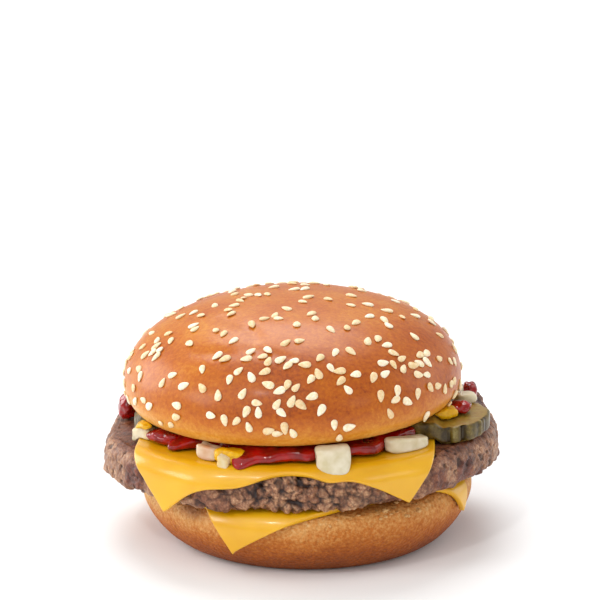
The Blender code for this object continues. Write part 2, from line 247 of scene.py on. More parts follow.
def piece_from(name, points, faces, material, stands_for, values):
    """Makes a mesh object with smooth shading, gives it its values, and ties it to the frame."""
    mesh = bpy.data.meshes.new(name)
    mesh.from_pydata(settled(points).tolist(), [], faces)
    for key, numbers in values.items():
        mesh.attributes.new(key, "FLOAT", "POINT").data.foreach_set("value", np.ravel(numbers))
    mesh.shade_smooth()
    mesh.materials.append(material)
    piece = bpy.data.objects.new(name, mesh)
    bpy.context.scene.collection.objects.link(piece)
    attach(piece, "root")
    if stands_for:
        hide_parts(stands_for)
    print(f"{name}: {len(mesh.vertices)} points, {len(mesh.polygons)} faces")
    return piece


def closed_piece(name, grid, material, stands_for, slot, **values):
    """A piece from a closed grid, with a value for each point of the grid."""
    quads, fans = faces_of(*grid.shape[:2])
    values = {key: ends_joined(numbers) for key, numbers in values.items()}
    faces = quads.tolist() + fans.tolist()
    return piece_from(name, ends_joined(grid), faces, material, stands_for, values)


# %% [markdown]
# ## Materials
# Every finish is a Principled shader fed by a few nodes. Colours are chosen as sRGB hex values, because
# that is how they look on a screen, and are turned to linear once. Patterns read Object coordinates in
# metres, so a pattern's scale is one over the size of its grain.


# %% Colour and node helpers
def linear(hexcode):
    """An sRGB hex colour as linear red, green, blue and alpha, by the standard's two-part curve."""
    parts = [int(hexcode[i:i + 2], 16) / 255 for i in (1, 3, 5)]
    return (*[p / 12.92 if p <= 0.04045 else ((p + 0.055) / 1.055) ** 2.4 for p in parts], 1.0)


def add(tree, kind, links=(), **settings):
    """Adds one node: its settings, then each input as a value or as the socket that feeds it."""
    made = tree.nodes.new(kind)
    for key, value in settings.items():
        setattr(made, key, value)
    for socket, value in dict(links).items():
        if isinstance(value, bpy.types.NodeSocket):
            tree.links.new(value, made.inputs[socket])
        else:
            made.inputs[socket].default_value = value
    return made


def with_stops(ramp, stops):
    """Gives a colour ramp its stops: (place, hex colour) pairs from low to high."""
    elements = ramp.color_ramp.elements
    while len(elements) < len(stops):
        elements.new(0.5)
    for element, (place, colour) in zip(elements, stops):
        element.position = place
        element.color = linear(colour)
    return ramp.outputs["Color"]


def blended(tree, share, first, second, how="MIX"):
    """The first colour blended with the second by a share: the socket of a colour mix node."""
    made = add(tree, "ShaderNodeMix", {0: share, 6: first, 7: second}, data_type="RGBA", blend_type=how)
    return made.outputs[2]


def grain(mm):
    """The noise scale that gives grains of this many millimetres on Object coordinates."""
    return 1 / (mm * MM)


def noise_at(tree, spot, size, detail, roughness=0.5):
    """The value of a noise pattern whose lumps are about the given size, in millimetres."""
    inputs = {"Vector": spot, "Scale": grain(size), "Detail": detail, "Roughness": roughness}
    return add(tree, "ShaderNodeTexNoise", inputs).outputs[0]


def value_of(tree, name):
    """The value that the mesh carries under this name, which its own cell works out."""
    return add(tree, "ShaderNodeAttribute", attribute_name=name).outputs["Fac"]


def finish(name, **constants):
    """A new material: its node tree, its shader with the constants set on its own sockets, coordinates."""
    material = bpy.data.materials.new(name)
    material.use_nodes = True
    tree = material.node_tree
    shader = tree.nodes["Principled BSDF"]
    for socket, value in constants.items():
        shader.inputs[socket.replace("_", " ")].default_value = value
    spot = tree.nodes.new("ShaderNodeTexCoord").outputs["Object"]
    return material, tree, shader, spot


# %% [markdown]
# ### Egg-washed crust
# The crown is brushed with egg before it bakes. That gives a thin, glossy brown skin over a dense crumb:
# darkest where it bulges into the oven's heat, paler and duller round its lower rim. Its top and its left
# side are painted paler too, a painted highlight where the lamps shine on it. A clear coat stands for the
# glaze. The skin is finely pitted and wrinkled, which breaks the shine a little.

# %% Crust of the crown
egg_crust, tree, shader, spot = finish(
    "egg_washed_crust", IOR=1.33, Coat_Weight=0.25, Coat_Roughness=0.22, Subsurface_Weight=0.06,
    Subsurface_Scale=0.002,
)
# the browning value, with a painted highlight that makes the crown's top and left side paler
bake = value_of(tree, "bake")
# blotch: the oven's uneven browning; speckle: fine points that keep the skin from looking like plastic
blotch = noise_at(tree, spot, 14, 3, 0.6)
speckle = noise_at(tree, spot, 1.1, 4, 0.7)
tone = add(tree, "ShaderNodeMath", {0: blotch, 1: 0.55, 2: -0.275}, operation="MULTIPLY_ADD")
tone = add(tree, "ShaderNodeMath", {0: bake, 1: tone.outputs[0]}, operation="ADD")
fine = add(tree, "ShaderNodeMath", {0: speckle, 1: 0.9, 2: -0.45}, operation="MULTIPLY_ADD")
tone = add(tree, "ShaderNodeMath", {0: tone.outputs[0], 1: fine.outputs[0]}, operation="ADD")
crust_colour = with_stops(
    add(tree, "ShaderNodeValToRGB", {"Fac": tone.outputs[0]}),
    [(0.0, "#dea44c"), (0.3, "#cc8220"), (0.6, "#b96208"), (0.85, "#a44c04"), (1.0, "#883a04")],
)
tree.links.new(crust_colour, shader.inputs["Base Color"])
shine = add(tree, "ShaderNodeMapRange", {"Value": blotch, "To Min": 0.36, "To Max": 0.52})
tree.links.new(shine.outputs[0], shader.inputs["Roughness"])
# skin: pits and wrinkles that break up the shine
skin = noise_at(tree, spot, 2.2, 5, 0.62)
bump = add(tree, "ShaderNodeBump", {"Height": skin, "Strength": 0.4, "Distance": 0.0003})
tree.links.new(bump.outputs[0], shader.inputs["Normal"])
print("made", egg_crust.name)

# %% [markdown]
# ### Plain crust
# The heel bakes on the tray without egg: matt, finely pored like skin, brown at its foot where it met the
# hot tray, and paler towards the cut. Its left side is painted paler as well, a painted highlight. The same
# attribute idea is used, with the height and that painted highlight as its value, and a second value marks
# the greasy patch under the patty's drip.

# %% Crust of the heel
plain_crust, tree, shader, spot = finish("plain_crust", IOR=1.45, Specular_IOR_Level=0.35)
# the browning value by height, with a painted highlight that makes the heel's left side paler
bake = value_of(tree, "bake")
# blotch and speckle: a matt, unevenly baked face; the cells below prick it with pores
blotch = noise_at(tree, spot, 9, 4, 0.65)
speckle = noise_at(tree, spot, 0.9, 3, 0.7)
tone = add(tree, "ShaderNodeMath", {0: blotch, 1: 0.5, 2: -0.25}, operation="MULTIPLY_ADD")
tone = add(tree, "ShaderNodeMath", {0: bake, 1: tone.outputs[0]}, operation="ADD")
fine = add(tree, "ShaderNodeMath", {0: speckle, 1: 1.0, 2: -0.5}, operation="MULTIPLY_ADD")
tone = add(tree, "ShaderNodeMath", {0: tone.outputs[0], 1: fine.outputs[0]}, operation="ADD")
heel_colour = with_stops(
    add(tree, "ShaderNodeValToRGB", {"Fac": tone.outputs[0]}),
    [(0.0, "#e3b67a"), (0.25, "#d29450"), (0.5, "#bc6c24"), (0.75, "#a55414"), (1.0, "#86400c")],
)
grease = value_of(tree, "grease")
stained = blended(tree, grease, heel_colour, linear("#96552f"))
tree.links.new(stained, shader.inputs["Base Color"])
shine = add(tree, "ShaderNodeMapRange", {"Value": grease, "To Min": 0.66, "To Max": 0.42})
tree.links.new(shine.outputs[0], shader.inputs["Roughness"])
pores = add(tree, "ShaderNodeTexVoronoi", {"Vector": spot, "Scale": grain(1.3)}, feature="F1")
pitted = add(tree, "ShaderNodeMath", {0: pores.outputs["Distance"], 1: speckle}, operation="ADD")
bump = add(tree, "ShaderNodeBump", {"Height": pitted.outputs[0], "Strength": 0.8, "Distance": 0.0007})
tree.links.new(bump.outputs[0], shader.inputs["Normal"])
print("made", plain_crust.name)

# %% [markdown]
# ### Grilled minced beef
# Coarse mince keeps its crumbs. The tops of the crumbs are a greyed pink-brown, and fat makes small wet
# glints. The crumbs are real geometry, and the colour follows them with painted light: one value says how
# deep a point lies and darkens the gaps and pits to nearly black, a painted shade; another gives each crumb
# its own tone and makes the tops of the crumbs paler, a painted highlight.

# %% Beef
beef, tree, shader, spot = finish("grilled_beef", IOR=1.45, Subsurface_Weight=0.05, Subsurface_Scale=0.001)
# painted shade: this value darkens the gaps between crumbs and the pits
depth = value_of(tree, "depth")
# each crumb's own tone, with a painted highlight on the tops of the crumbs
crumb_tone = value_of(tree, "tone")
seared = value_of(tree, "seared")
# speckle: the fibres within a crumb, and its small wet glints
speckle = noise_at(tree, spot, 0.7, 4, 0.7)
mixed = add(tree, "ShaderNodeMath", {0: speckle, 1: 1.3, 2: -0.65}, operation="MULTIPLY_ADD")
mixed = add(tree, "ShaderNodeMath", {0: crumb_tone, 1: mixed.outputs[0]}, operation="ADD")
lean_colour = with_stops(
    add(tree, "ShaderNodeValToRGB", {"Fac": mixed.outputs[0]}),
    [(0.1, "#5f3a26"), (0.4, "#8c5c40"), (0.7, "#b88b67"), (1.0, "#ebcaa2")],
)
browned = blended(tree, seared, lean_colour, linear("#a8705c"), "MULTIPLY")
# painted shade: deep points are mixed towards near black
tree.links.new(blended(tree, depth, browned, linear("#2a1610")), shader.inputs["Base Color"])
wet = add(tree, "ShaderNodeMapRange", {"Value": speckle, "To Min": 0.12, "To Max": 0.62})
tree.links.new(wet.outputs[0], shader.inputs["Roughness"])
bump = add(tree, "ShaderNodeBump", {"Height": speckle, "Strength": 0.6, "Distance": 0.0004})
tree.links.new(bump.outputs[0], shader.inputs["Normal"])
print("made", beef.name)

# %% [markdown]
# ### Processed cheese
# A processed slice is a smooth, even paste: deep yellow, a little translucent, with a satin skin that goes
# glossier where it has softened. Its surface has almost no grain, so the bump is faint and very wide.

# %% Cheese
cheese, tree, shader, spot = finish(
    "processed_cheese", IOR=1.42, Coat_Weight=0.5, Coat_Roughness=0.16, Subsurface_Weight=0.15,
    Subsurface_Scale=0.002, Subsurface_Radius=(1.0, 0.6, 0.15),
)
# wide: changes of yellow and gloss that are hardly seen, but stop the slice from looking flat
wide = noise_at(tree, spot, 12, 2)
cheese_colour = with_stops(
    add(tree, "ShaderNodeValToRGB", {"Fac": wide}), [(0.3, "#dba000"), (0.7, "#e8b00c")],
)
tree.links.new(cheese_colour, shader.inputs["Base Color"])
soft = add(tree, "ShaderNodeMapRange", {"Value": wide, "To Min": 0.26, "To Max": 0.42})
tree.links.new(soft.outputs[0], shader.inputs["Roughness"])
swell = noise_at(tree, spot, 5, 2)
bump = add(tree, "ShaderNodeBump", {"Height": swell, "Strength": 0.12, "Distance": 0.0005})
tree.links.new(bump.outputs[0], shader.inputs["Normal"])
print("made", cheese.name)

# %% [markdown]
# ### Ketchup and mustard
# Both are wet pastes. Ketchup is smooth and shows sharp highlights on a deep red that brightens where it is
# thin. Mustard is duller and a little grainy. Neither has real bump: their lumps are in the mesh.

# %% Sauces
ketchup, tree, shader, spot = finish(
    "tomato_ketchup", IOR=1.36, Subsurface_Weight=0.1, Subsurface_Scale=0.0015,
    Subsurface_Radius=(1.0, 0.15, 0.08), Coat_Weight=0.35, Coat_Roughness=0.03, Roughness=0.1,
)
# pulp: deeper and brighter red, as if the sauce were thicker and thinner
pulp = noise_at(tree, spot, 4, 3)
red = with_stops(
    add(tree, "ShaderNodeValToRGB", {"Fac": pulp}), [(0.3, "#5e0202"), (0.7, "#ac0804")],
)
tree.links.new(red, shader.inputs["Base Color"])

mustard, tree, shader, spot = finish(
    "mustard_paste", IOR=1.42, Subsurface_Weight=0.1, Subsurface_Scale=0.001, Roughness=0.3,
)
# seed_husk: grains of ground mustard
seed_husk = noise_at(tree, spot, 1.2, 3)
yellow = with_stops(
    add(tree, "ShaderNodeValToRGB", {"Fac": seed_husk}), [(0.3, "#cc9200"), (0.7, "#e4b400")],
)
tree.links.new(yellow, shader.inputs["Base Color"])
print("made", ketchup.name, mustard.name)

# %% [markdown]
# ### Raw onion
# A diced onion piece is a bit of a thick, watery leaf: off-white with faint, cloudy changes of tone, a
# smooth wet face, and a body that light enters. Where sauce has run over a piece it is stained.

# %% Onion
onion, tree, shader, spot = finish(
    "raw_onion", IOR=1.4, Subsurface_Weight=0.2, Subsurface_Scale=0.003, Subsurface_Radius=(1.0, 0.95, 0.75),
    Roughness=0.18,
)
# cloudy: paler and more watery patches in the leaf
cloudy = noise_at(tree, spot, 3, 2)
leaf = with_stops(
    add(tree, "ShaderNodeValToRGB", {"Fac": cloudy}), [(0.3, "#cabd98"), (0.7, "#ded4bc")],
)
for attribute, stain in (("ketchup_stain", "#b8503a"), ("mustard_stain", "#e4b428")):
    share = value_of(tree, attribute)
    leaf = blended(tree, share, leaf, linear(stain))
tree.links.new(leaf, shader.inputs["Base Color"])
bump = add(tree, "ShaderNodeBump", {"Height": cloudy, "Strength": 0.04, "Distance": 0.0003})
tree.links.new(bump.outputs[0], shader.inputs["Normal"])
print("made", onion.name)

# %% [markdown]
# ### Pickled cucumber
# Brine turns the cucumber's skin a dull olive with darker ribs, and its flesh a paler, glassy green. One
# value on the surface runs from 0 on the cut faces to 1 on the skin, and mixes the two. A second value
# follows the ribs, and darkens the notches in the rim as painted shade.

# %% Pickle
pickle, tree, shader, spot = finish(
    "pickled_cucumber", IOR=1.4, Subsurface_Weight=0.12, Subsurface_Scale=0.002, Roughness=0.3,
)
rind = value_of(tree, "rind")
# the ribs' own tone, and painted shade in the notches of the rim
rib = value_of(tree, "rib")
# fleck: warts on the skin and glassy spots in the flesh
fleck = noise_at(tree, spot, 1.6, 4, 0.65)
rib_tone = add(tree, "ShaderNodeMath", {0: fleck, 1: rib}, operation="ADD")
skin_colour = with_stops(
    add(tree, "ShaderNodeValToRGB", {"Fac": rib_tone.outputs[0]}),
    [(0.25, "#38290a"), (0.6, "#685620"), (0.95, "#a29458")],
)
flesh = with_stops(
    add(tree, "ShaderNodeValToRGB", {"Fac": fleck}), [(0.3, "#845c12"), (0.7, "#9a8236")],
)
tree.links.new(blended(tree, rind, flesh, skin_colour), shader.inputs["Base Color"])
bump = add(tree, "ShaderNodeBump", {"Height": fleck, "Strength": 0.25, "Distance": 0.0003})
tree.links.new(bump.outputs[0], shader.inputs["Normal"])
print("made", pickle.name)

# %% [markdown]
# ### Sesame
# Hulled sesame is ivory with a dull, dry skin, toasted a little darker on some seeds. Each seed carries its
# own tone, so that no two neighbours match.

# %% Sesame
sesame, tree, shader, spot = finish(
    "hulled_sesame", IOR=1.45, Subsurface_Weight=0.1, Subsurface_Scale=0.001, Roughness=0.5,
)
seed_tone = value_of(tree, "tone")
# hull: a faint toasted mottling
hull = noise_at(tree, spot, 0.7, 2)
both = add(tree, "ShaderNodeMath", {0: hull, 1: seed_tone}, operation="ADD")
ivory = with_stops(
    add(tree, "ShaderNodeValToRGB", {"Fac": both.outputs[0]}),
    [(0.3, "#e2c08a"), (0.7, "#f0dcb4"), (1.0, "#f8efd6")],
)
tree.links.new(ivory, shader.inputs["Base Color"])
print("made", sesame.name)

# %% [markdown]
# ## The crown
# A bun's dome is a superellipse turned about its axis: a little squarer than a ball, because the dough
# spreads before it sets. Below the widest level it rounds under to the cut face. Slow noise makes it
# swell unevenly, and a few soft creases show where the skin tightened as it cooled.


# %% Crown
def superellipse(t, width, height, power):
    """Points on a quarter superellipse: each coordinate is a power of the sine or cosine of t."""
    return width * np.sin(t) ** (2 / power), height * np.cos(t) ** (2 / power)


def revolve(radius, height, columns):
    """A grid from a profile: every (radius, height) pair goes round in the given number of columns."""
    angle = np.linspace(0, 2 * math.pi, columns, endpoint=False)
    x, y = np.outer(radius, np.cos(angle)), np.outer(radius, np.sin(angle))
    return np.stack([x, y, np.broadcast_to(height[:, None], x.shape)], axis=-1)


def crown_profile(dome_rows, under_rows, face_rows):
    """The crown's half outline, from the top centre round to the middle of the cut face."""
    t = np.linspace(0, math.pi / 2, dome_rows)
    dome_r, dome_z = superellipse(t, CROWN_R, CROWN_TOP_Z - CROWN_WAIST_Z, CROWN_POWER)
    s = np.linspace(0, math.pi / 2, under_rows)[1:]
    under_r = CROWN_FACE_R + (CROWN_R - CROWN_FACE_R) * np.cos(s)
    under_z = CROWN_WAIST_Z - (CROWN_WAIST_Z - CROWN_FACE_Z) * np.sin(s)
    face_r = np.linspace(CROWN_FACE_R, 0, face_rows)[1:]
    radius = np.concatenate([dome_r, under_r, face_r])
    return radius, np.concatenate([dome_z + CROWN_WAIST_Z, under_z, 0 * face_r + CROWN_FACE_Z])


def on_dome(x, y):
    """The height of the crown's dome over a point of the plan, from the superellipse."""
    share = np.clip(np.hypot(x - CROWN_X, y - CROWN_Y) / CROWN_R, 0, 0.9999)
    return CROWN_WAIST_Z + (CROWN_TOP_Z - CROWN_WAIST_Z) * (1 - share**CROWN_POWER) ** (1 / CROWN_POWER)


def crease(points, start, end, depth, width):
    """A groove between two points of the plan: a bell across the line that fades at both of its ends."""
    a, b = (np.array([x, y, on_dome(x, y)]) for x, y in (start, end))
    along = np.clip(np.dot(points - a, b - a) / np.dot(b - a, b - a), 0, 1)
    away = np.linalg.norm(points - (a + along[..., None] * (b - a)), axis=-1)
    return depth * np.exp(-((away / width) ** 2)) * np.sin(math.pi * np.clip(along, 0.02, 0.98)) ** 0.5


def crown_swell(points):
    """How far the dough swells out: broad, slow noise with a little finer noise on it."""
    return 0.45 * cloud(points, 26, seed=3) + 0.1 * cloud(points, 7, seed=4)


crown_grid = revolve(*crown_profile(110, 36, 16), 400)
low = np.clip((CROWN_WAIST_Z - crown_grid[..., 2]) / (CROWN_WAIST_Z - CROWN_FACE_Z), 0, 1)
crown_grid[..., 2] += CROWN_TWIST * crown_grid[..., 0] / CROWN_FACE_R * low
crown_grid += (CROWN_X, CROWN_Y, 0)
swell = crown_swell(crown_grid)
creases = (
    crease(crown_grid, (-17, -20), (-13, -31), 0.6, 2.4)
    + crease(crown_grid, (-34, -26), (-19, -34), 0.6, 2.6)
    + crease(crown_grid, (-19, -31), (-4, -38), 0.45, 2.2)
    + crease(crown_grid, (-26, -10), (-17, -22), 0.4, 3.0)
    + crease(crown_grid, (14, 34), (30, 26), 0.6, 2.2)
    + crease(crown_grid, (34, -6), (36, 10), 0.35, 2.0)
    + crease(crown_grid, (-22, 30), (-36, 18), 0.5, 2.0)
)
crown_grid = pushed(crown_grid, swell - creases)
crown_z = crown_grid[..., 2]
# browning: paler at the lower rim, darker higher up, uneven
crown_bake = 0.2 + 0.56 * smooth((crown_z - 40.5) / 11) + 0.14 * cloud(crown_grid, 16, seed=9)
# painted highlight: the next two lines make the crust paler at the top and on the left side
crown_bake -= 0.14 * smooth((crown_z - 60) / 9)
crown_bake -= 0.16 * smooth((-crown_grid[..., 0] - 22) / 22)
closed_piece("crown_crust", crown_grid, egg_crust, "crown", "bun_crust", bake=crown_bake)

# %% [markdown]
# ## Sesame seeds
# The seeds are scattered before baking and stick where they land, flat side down, a few in touching pairs
# and clumps. Each is a flattened drop about 3 mm long. All of them are one mesh: the drop's grid is turned,
# scaled and placed for every seed at once with arrays.


# %% Where the seeds lie
def scatter_seeds(count, spacing):
    """Random places on the dome, no two nearer than the spacing; two in five are tried near an older one."""
    places = []
    while len(places) < count:
        if len(places) > 20 and rng.random() < 0.42:
            slope, angle = places[rng.integers(len(places))]
            slope, angle = slope + rng.normal(0, 0.055), angle + rng.normal(0, 0.08)
        else:
            slope, angle = math.acos(1 - rng.random() * 1.1), rng.random() * 2 * math.pi
        if not 0.02 < slope < 1.68:
            continue
        here = dome_point(slope, angle)
        if all(np.linalg.norm(here - dome_point(*other)) > spacing for other in places):
            places.append((slope, angle))
    return np.array(places)


def dome_point(slope, angle):
    """The point of the crust at a slope from the top, in radians, and a direction round the axis.

    Past a quarter turn the point follows the rounding under the crown's widest level.
    """
    r, z = superellipse(np.minimum(slope, math.pi / 2), CROWN_R, CROWN_TOP_Z - CROWN_WAIST_Z, CROWN_POWER)
    under = 5 * np.maximum(slope - math.pi / 2, 0)
    r = r - (CROWN_R - CROWN_FACE_R) * (1 - np.cos(under))
    z = z - (CROWN_WAIST_Z - CROWN_FACE_Z) * np.sin(under)
    return np.stack([CROWN_X + r * np.cos(angle), CROWN_Y + r * np.sin(angle), CROWN_WAIST_Z + z], axis=-1)


# %% One drop, and all of them
def drop_grid(rows, columns):
    """A seed 2 units long: an ellipsoid along X that narrows towards one end."""
    t = np.linspace(0, math.pi, rows)[:, None]
    angle = np.linspace(0, 2 * math.pi, columns, endpoint=False)[None, :]
    along = np.cos(t) + 0 * angle
    girth = np.sin(t) * (1 - 0.38 * along)
    return np.stack([along, girth * np.cos(angle), girth * np.sin(angle)], axis=-1)


def seed_frames(places):
    """For each seed: its centre, and three axes, two along the surface at a random turn and one up."""
    slope, angle = places.T
    here = dome_point(slope, angle)
    down = dome_point(slope + 0.01, angle) - here
    down /= np.linalg.norm(down, axis=-1, keepdims=True)
    side = np.stack([-np.sin(angle), np.cos(angle), 0 * angle], axis=-1)
    up = np.cross(down, side)
    spin = rng.random(len(slope))[:, None] * 2 * math.pi
    long_way = down * np.cos(spin) + side * np.sin(spin) + up * rng.normal(0, 0.09, (len(slope), 1))
    long_way /= np.linalg.norm(long_way, axis=-1, keepdims=True)
    across = np.cross(up, long_way)
    return here, long_way, across, np.cross(long_way, across)


def many(name, unit, at, axes, half, tones, material):
    """One mesh of many copies of a unit grid: each is scaled along its three axes and moved to its place."""
    copies = at[:, None, None]
    for number, axis in enumerate(axes):
        copies = copies + unit[None, ..., number, None] * (axis * half[:, number, None])[:, None, None]
    quads, fans = faces_of(*unit.shape[:2])
    count = len(at)
    points = np.concatenate(
        [copies[:, :1, 0], copies[:, 1:-1].reshape(count, -1, 3), copies[:, -1:, 0]], axis=1,
    )
    first = np.arange(count)[:, None, None] * points.shape[1]
    faces = (quads + first).reshape(-1, 4).tolist() + (fans + first).reshape(-1, 3).tolist()
    values = {"tone": np.repeat(tones, points.shape[1])}
    return piece_from(name, points.reshape(-1, 3), faces, material, None, values)


seed_places = scatter_seeds(310, 2.45)
centre, *seed_axes = seed_frames(seed_places)
half = np.array([1.68, 1.02, 0.46]) * rng.uniform(0.88, 1.12, (len(centre), 1))
skin_lift = crown_swell(centre) + 0.22
many(
    "sesame_seeds", drop_grid(8, 9), centre + seed_axes[2] * skin_lift[:, None], seed_axes, half,
    rng.uniform(-0.1, 0.45, len(centre)), sesame,
)

# %% [markdown]
# ## The heel
# The lower half is a low bowl with a flat base, widest two thirds of the way up, where the crust rounds
# over to the cut. Its crust is dull and slightly puckered, so the noise here is finer and stronger.

# %% Heel
t = np.linspace(0, math.pi / 2, 40)
rim_r, rim_z = superellipse(t, HEEL_R - HEEL_TOP_R, HEEL_TOP_Z - HEEL_WAIST_Z, HEEL_RIM_POWER)
foot_r, foot_z = superellipse(math.pi / 2 - t[1:], HEEL_R - HEEL_FOOT_R, HEEL_WAIST_Z, HEEL_FOOT_POWER)
heel_r = np.concatenate([
    np.linspace(0, HEEL_TOP_R, 10)[:-1], HEEL_TOP_R + rim_r, HEEL_FOOT_R + foot_r, [30, 15, 0],
])
heel_z = np.concatenate([
    np.full(9, HEEL_TOP_Z), HEEL_WAIST_Z + rim_z, HEEL_WAIST_Z - foot_z, [0, 0, 0],
])
heel_grid = revolve(heel_r, heel_z, 380)
direction = np.arctan2(heel_grid[..., 1], heel_grid[..., 0])
above_base = smooth(heel_grid[..., 2] / 3)
heel_swell = 0.4 * cloud(heel_grid, 22, seed=21) + 0.16 * cloud(heel_grid, 5, seed=22)
heel_grid = pushed(heel_grid, (heel_swell - 0.1) * above_base)
heel_height = heel_grid[..., 2] / HEEL_TOP_Z
# darker towards the foot, paler towards the cut; the hump term is a painted highlight that makes the left
# side paler
heel_bake = (
    0.98 - 0.72 * smooth((heel_height - 0.06) / 0.9) + 0.1 * cloud(heel_grid, 9, seed=23)
    - 0.22 * hump(direction, -175, 38)
)
heel_grease = 0.75 * hump(direction, -133, 7) * smooth((heel_height - 0.72) / 0.2)
closed_piece(
    "heel_crust", heel_grid, plain_crust, "heel", "bun_crust", bake=heel_bake, grease=heel_grease,
)

# %% [markdown]
# The knife leaves loose flakes of crust and crumb along the heel's cut edge, most of them at the front
# right. They are small uneven lumps, from half a millimetre to two, all in one mesh.

# %% Flakes on the cut edge
flake_form = drop_grid(7, 8)
flake_form = flake_form * (1 + 0.5 * cloud(flake_form, 0.9, seed=27))[..., None]
flake_angle = np.radians(np.concatenate([rng.normal(-58, 11, 16), rng.uniform(0, 360, 22)]))
on_edge = rng.uniform(0, 1, len(flake_angle))
edge_r, edge_z = superellipse(
    0.25 + 1.0 * on_edge, HEEL_R - HEEL_TOP_R, HEEL_TOP_Z - HEEL_WAIST_Z, HEEL_RIM_POWER,
)
out = HEEL_TOP_R + edge_r
flake_at = np.stack(
    [out * np.cos(flake_angle), out * np.sin(flake_angle), HEEL_WAIST_Z + edge_z + 0.15], axis=-1,
)
spin = rng.uniform(0, math.pi, len(out))
flat_axis = np.stack([np.cos(spin), np.sin(spin), 0.3 * np.cos(3 * spin)], axis=-1)
side_axis = np.stack([-np.sin(spin), np.cos(spin), 0 * spin], axis=-1)
up_axis = np.cross(flat_axis, side_axis)
flake_half = rng.uniform(0.35, 1.0, (len(out), 1)) * (1.1, 0.7, 0.35)
many(
    "bun_flakes", flake_form, flake_at, (flat_axis, side_axis, up_axis), flake_half, 0 * spin, plain_crust,
)

# %% [markdown]
# ## The patty
# The patty is pressed from coarse mince: a thick disc whose edge is a wall of crumbs, 3 or 4 mm each, with
# smaller ones between. The grid's rows are packed where the meat shows and are few where the slices and
# the bun hide it. Cell noise pushes every crumb out as a little dome; the front, where the edge broke open,
# has the deepest relief, and the pressed sides have shallow pits.


# %% Patty
def patty_profile():
    """Rows as (share of the disc, inset from the rim, height): coarse inside, fine over the edge."""
    inner = np.linspace(0, 0.62, 7)[:-1]
    outer = np.linspace(0.62, 1, 22)[:-1]
    share = np.concatenate([inner, outer])
    t = np.linspace(0, math.pi / 2, 20)
    low = np.linspace(0, math.pi / 2, 11)
    wall = np.linspace(PATTY_TOP_Z - PATTY_ROUND, PATTY_BOTTOM_Z + PATTY_ROUND_LOW, 16)[1:-1]
    inset = np.concatenate([
        PATTY_ROUND * (1 - np.sin(t)), 0 * wall, PATTY_ROUND_LOW * (1 - np.cos(low)),
    ])
    height = np.concatenate([
        PATTY_TOP_Z - PATTY_ROUND * (1 - np.cos(t)), wall,
        PATTY_BOTTOM_Z + PATTY_ROUND_LOW * (1 - np.sin(low)),
    ])
    return share, inset, height


share, inset, height = patty_profile()
columns = 1080
angle = np.linspace(0, 2 * math.pi, columns, endpoint=False)
rim = patty_rim(angle)
edge_r = rim - inset[:, None]
top_r = share[:, None] * (rim - PATTY_ROUND)
under_r = np.concatenate([share[::-1][:12], share[:6][::-1]])[:, None] * (rim - PATTY_ROUND_LOW)
radius = np.concatenate([top_r, edge_r, under_r])
level = np.concatenate([0 * share + PATTY_TOP_Z, height, np.full(len(under_r), PATTY_BOTTOM_Z)])
patty_grid = np.stack([radius * np.cos(angle), radius * np.sin(angle), 0 * radius + level[:, None]], axis=-1)
print("patty grid:", patty_grid.shape[0], "rows of", columns)

# %% Crumbs and relief
warp = np.stack([cloud(patty_grid, 2.6, seed=n) for n in (30, 31, 32)], axis=-1)
bent = patty_grid + 1.3 * warp
big, _, big_tone = crumbs(bent, 4.6, seed=33)
mid, next_mid, mid_tone = crumbs(bent, 2.1, seed=34)
bead, _, bead_tone = crumbs(bent, 1.05, seed=35)
broken = 0.42 + 0.72 * hump(angle, -92, 34) + 0.5 * hump(angle, 34, 18) + 0.12 * np.sin(3 * angle + 1)
domes = [1 - np.clip(d / 0.85, 0, 1) ** 2 for d in (big, mid, bead)]
lumps = 1.1 * domes[0] + 0.6 * domes[1] + 0.42 * domes[2] + 0.5 * cloud(patty_grid, 1.3, seed=47)
pits = smooth((cloud(patty_grid, 1.5, seed=41, layers=1) - 0.34) / 0.2)
pits *= smooth((cloud(patty_grid, 9, seed=42, layers=1) + 0.35) / 0.4)
relief = (lumps - 1.2) * broken + 0.6 * cloud(patty_grid, 10, seed=39) - 0.55 * pits
relief += 0.32 * cloud(patty_grid, 1.7, seed=48) * (1 - 0.7 * hump(angle, -92, 34))
chips = smooth((cloud(patty_grid * (1, 1, 0.4), 4.5, seed=45, layers=1) - 0.15) / 0.3)
lower_edge = smooth((PATTY_BOTTOM_Z + 3 - patty_grid[..., 2]) / 3)
relief += lower_edge * (0.7 * chips - 0.1)
upper_face = level[:, None] > PATTY_TOP_Z - 0.01
lower_face = level[:, None] < PATTY_BOTTOM_Z + 0.01
beyond_slice = smooth((np.hypot(patty_grid[..., 0], patty_grid[..., 1]) - 44) / 5)
relief = np.where(upper_face, 0.9 * relief * beyond_slice - 0.25, np.where(lower_face, 0.4 * relief, relief))
patty_grid = pushed(patty_grid, relief)
patty_grid[..., 2] -= sag(patty_grid[..., 0], patty_grid[..., 1])
print("relief in mm:", round(float(relief.min()), 2), "to", round(float(relief.max()), 2))

# %% Colour values
# painted shade: depth is largest in the gaps between crumbs and in the pits
gap = 1 - np.clip((next_mid - mid) / 0.28, 0, 1)
depth = np.clip(0.75 - 0.6 * domes[0] - 0.4 * domes[1] - 0.2 * domes[2] + 0.35 * gap, 0, 1)
depth = depth * 1.35 * broken + 0.7 * pits
